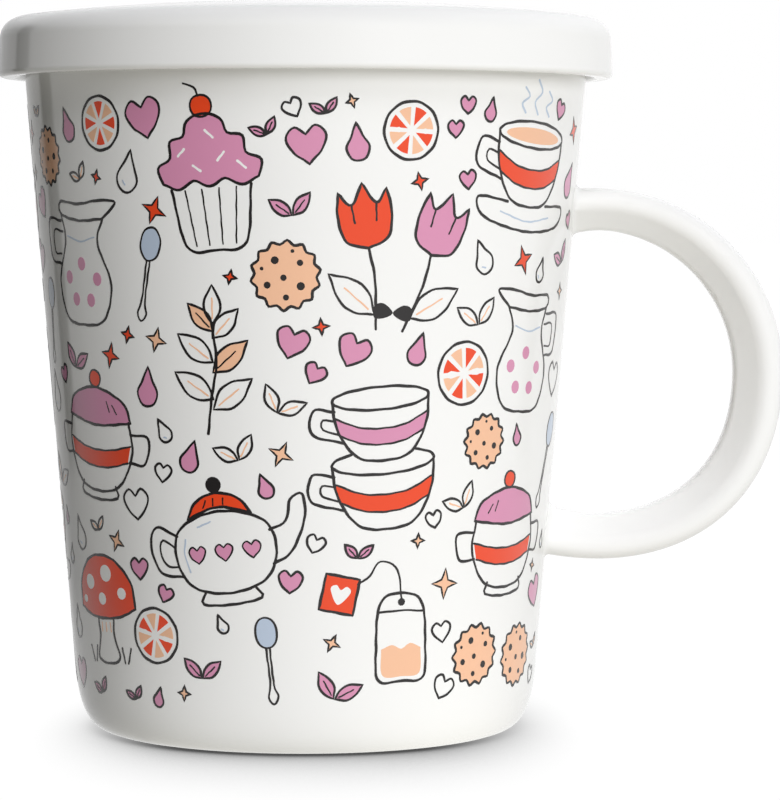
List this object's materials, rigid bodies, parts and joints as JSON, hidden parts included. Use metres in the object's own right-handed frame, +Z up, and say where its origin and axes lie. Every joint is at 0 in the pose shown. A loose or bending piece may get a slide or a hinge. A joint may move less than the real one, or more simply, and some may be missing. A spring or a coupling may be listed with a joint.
{
  "type": "lidded tea mug with infuser",
  "caption": "Tapered china tea mug with a ring handle, a domed cap lid that lifts off, and a perforated steel infuser basket that hangs on the rim.",
  "frame": {"origin": "centre of the foot ring, on the plane that the mug stands on", "axes": "+Z up along the cup's axis, +X towards the handle, +Y to the back"},
  "size_m": [0.122, 0.0954, 0.1128],
  "materials": {
    "china": null,
    "steel": "satin stainless steel"
  },
  "bodies": {
    "mug": {"mug_cup": "china", "mug_handle": "china"},
    "infuser": {"infuser_rim": "steel", "infuser_sleeve": "steel", "infuser_base": "steel"},
    "lid": {"lid": "china"}
  },
  "joints": [
    {"name": "infuser_lift", "type": "slide", "parent": "mug", "child": "infuser", "axis": [0, 0, 1], "range_m": [0, 0.085]},
    {"name": "lid_lift", "type": "slide", "parent": "infuser", "child": "lid", "axis": [0, 0, 1], "range_m": [0, 0.06]}
  ]
}
